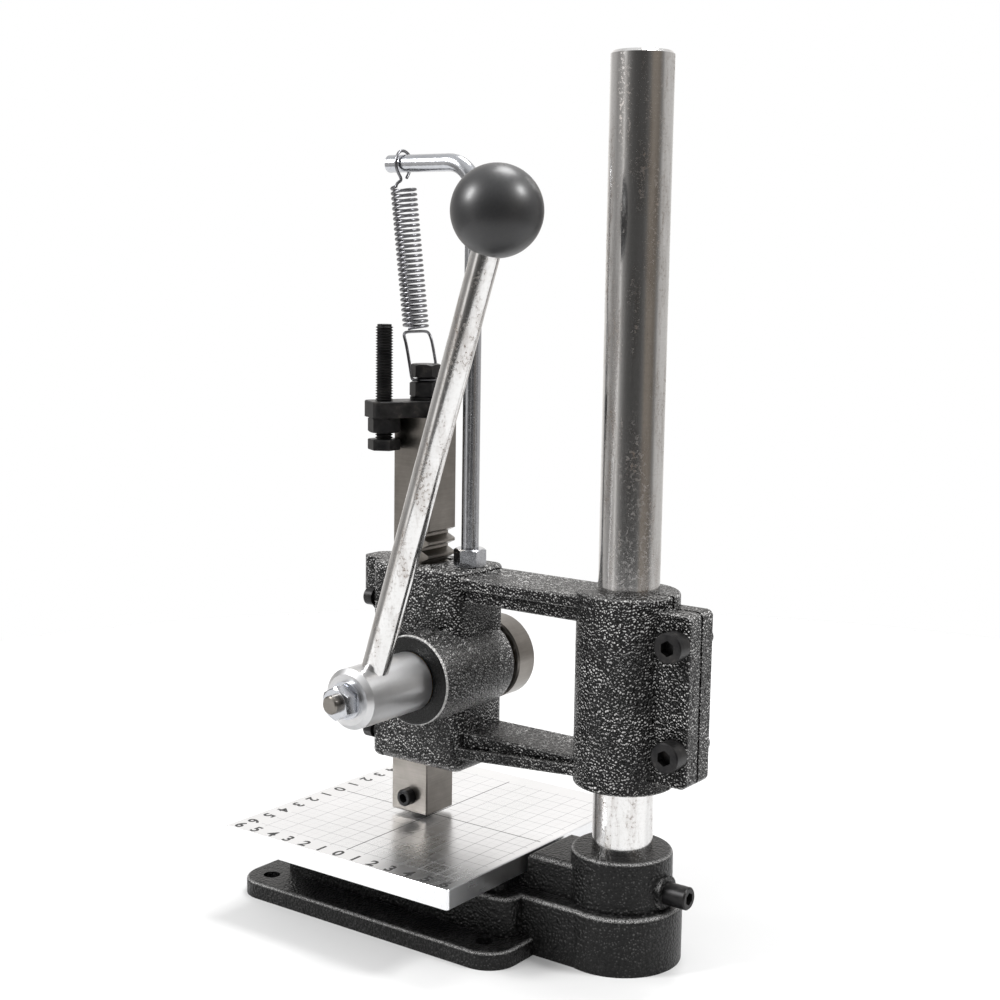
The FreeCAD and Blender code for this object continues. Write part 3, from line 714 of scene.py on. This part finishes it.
edit = bmesh.new()
for step in range(-6, 7):
    offset = step * ONE_CM * MM
    add_number(edit, abs(step), Vector((NUMBER_X, offset, table_top)), math.pi / 2)
    add_number(edit, abs(step), Vector((offset, NUMBER_Y, table_top)), 0.0)
numbers = finished("plate_numbers", edit, ink, 30)
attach(numbers, "base")


# %% [markdown]
# ## The floor
# The press stands on a round pale table top. Its chrome and its plate mirror it, so its size
# sets how high the bright part of each reflection climbs.

# %% Lay the floor
FLOOR_R = 0.72
FLOOR_MIDDLE_Y = 0.1
edit = bmesh.new()
bmesh.ops.create_circle(edit, cap_ends=True, segments=96, radius=FLOOR_R)
bmesh.ops.translate(edit, vec=(0, FLOOR_MIDDLE_Y, 0), verts=edit.verts[:])
floor_mesh = bpy.data.meshes.new("floor")
edit.to_mesh(floor_mesh)
edit.free()
floor = bpy.data.objects.new("floor", floor_mesh)
bpy.context.scene.collection.objects.link(floor)
pale = Finish("pale_floor")
soft = pale.mix(pale.noise(pale.place(), 3.0), (0.54, 0.54, 0.54), (0.57, 0.57, 0.57))
pale.set(Base_Color=soft, Roughness=0.9, Specular_IOR_Level=0.1)
pale.set(Emission_Color=(1, 1, 1), Emission_Strength=0.05)
dress(floor, pale.material)
print("floor radius:", FLOOR_R, "m")


# %% [markdown]
# ## The camera
# It looks down a little, from the corner between the lever's side and the column's side, with
# a long lens that keeps the column nearly upright.

# %% Place the camera
AZIMUTH = math.radians(35.98)
ELEVATION = math.radians(8.31)
ROLL = math.radians(0.85)
LENS = 59.87
CAMERA_PLACE = Vector((0.5976, 0.4704, 0.3030))


def direction(bearing, lift):
    """The unit vector at a bearing round from +X and an angle up."""
    reach = math.cos(lift)
    return Vector((reach * math.cos(bearing), reach * math.sin(bearing), math.sin(lift)))


back = direction(AZIMUTH, ELEVATION)
level = Vector((-back.y, back.x, 0)).normalized()
upward = back.cross(level)
right = level * math.cos(ROLL) + upward * math.sin(ROLL)
up = upward * math.cos(ROLL) - level * math.sin(ROLL)
camera_data = bpy.data.cameras.new("camera")
camera_data.sensor_width = 36.0
camera_data.lens = LENS
camera = bpy.data.objects.new("camera", camera_data)
turn = Matrix((right, up, back)).transposed().to_4x4()
camera.matrix_world = Matrix.Translation(CAMERA_PLACE) @ turn
bpy.context.scene.collection.objects.link(camera)
bpy.context.scene.camera = camera
print("camera at", [round(v, 3) for v in CAMERA_PLACE])


# %% [markdown]
# ## The studio
# Polished metal shows its surroundings, so the studio round the press matters more than the
# lamps. Behind the camera it is dark, at the sides it is grey with one bright strip, and behind
# the press it is white. Two ramps round the compass hold those levels, one at eye level and
# one for higher up. Each stop is an angle round from the camera and a brightness.

# %% Build the studio
LOW_WALL = [(-180, 1.1), (-165, 1.0), (-144, 0.62), (-116, 0.46), (-97, 0.30), (-80, 0.38),
            (-70, 1.0), (-61, 0.9), (-54, 0.24), (-41, 0.12), (-29, 0.08), (-12, 0.07),
            (12, 0.08), (23, 0.13), (35, 0.20), (47, 0.20), (62, 0.15), (74, 0.22),
            (84, 0.5), (106, 0.60), (128, 0.60), (150, 0.65), (165, 0.9), (180, 1.1)]
HIGH_WALL = [(-180, 1.05), (-160, 0.9), (-135, 0.3), (-110, 0.12), (-30, 0.07), (0, 0.07),
             (30, 0.3), (50, 0.6), (90, 0.6), (130, 0.6), (160, 0.9), (180, 1.05)]
WARM_FROM, WARM_TO = 30, 70
HIGH_FROM, HIGH_RATE = 0.13, 6.0
CEILING_FROM, CEILING_RATE = 0.35, 2.0
CEILING = (0.9, 0.9, 0.9)
SOFT_LIGHT = (0.85, 0.85, 0.85)
WHITE = (1.0, 1.0, 1.0)

world = bpy.data.worlds.new("studio")
world.use_nodes = True
bpy.context.scene.world = world
studio = Graph(world.node_tree)
way = studio.node("ShaderNodeTexCoord", {}, {}, "Generated")
ahead = studio.dot(way, (math.cos(AZIMUTH), math.sin(AZIMUTH), 0))
aside = studio.dot(way, tuple(level))
bearing = studio.node("ShaderNodeMath", {"operation": "ARCTAN2"}, {0: aside, 1: ahead})
compass = bearing * (1 / math.tau) + 0.5


def round_the_compass(levels):
    """Grey walls with a warm door frame on the right."""
    stops = []
    for angle, shade in levels:
        warm = 0.14 if WARM_FROM < angle < WARM_TO else 0.025
        stops.append(((angle + 180) / 360, (shade * (1 + warm), shade, shade * (1 - warm))))
    return studio.ramp(compass, stops)


height_in_sky = studio.axes(way)[2]
above_eye_level = ((height_in_sky - HIGH_FROM) * HIGH_RATE).clamped()
walls = studio.mix(above_eye_level, round_the_compass(LOW_WALL), round_the_compass(HIGH_WALL))
ceiling = ((height_in_sky - CEILING_FROM) * CEILING_RATE).clamped()
seen_in_gloss = studio.mix(ceiling, walls, CEILING)
is_seen = studio.node("ShaderNodeLightPath", {}, {}, "Is Camera Ray")
is_soft = studio.node("ShaderNodeLightPath", {}, {}, "Is Diffuse Ray")
lit = studio.mix(is_seen, studio.mix(is_soft, seen_in_gloss, SOFT_LIGHT), WHITE)
studio.feed(world.node_tree.nodes["Background"].inputs["Color"], lit)
bpy.context.scene.view_settings.view_transform = "Standard"
print("studio walls:", len(LOW_WALL), "and", len(HIGH_WALL), "stops")


# %% [markdown]
# ## The lamps
# Three soft boxes, all aimed at the middle of the press, give the knob its highlights.

# %% Hang the soft boxes
AIM = Vector((0.0, 0.03, 0.18))


def softbox(name, turn, lift, distance, width, tall, power):
    """An area lamp at an angle in degrees round from the camera and an angle up."""
    toward = direction(AZIMUTH + math.radians(turn), math.radians(lift))
    data = bpy.data.lights.new(name, "AREA")
    data.shape = "RECTANGLE"
    data.size = width
    data.size_y = tall
    data.energy = power
    lamp = bpy.data.objects.new(name, data)
    lamp.location = AIM + toward * distance
    lamp.rotation_euler = toward.to_track_quat("Z", "Y").to_euler()
    bpy.context.scene.collection.objects.link(lamp)
    print(f"{name}: {power} W")


softbox("left_box", -76, 36, 1.3, 0.26, 0.44, 16)
softbox("right_box", 72, 44, 1.3, 0.28, 0.30, 12)
softbox("top_box", 150, 70, 1.4, 0.5, 0.5, 12)
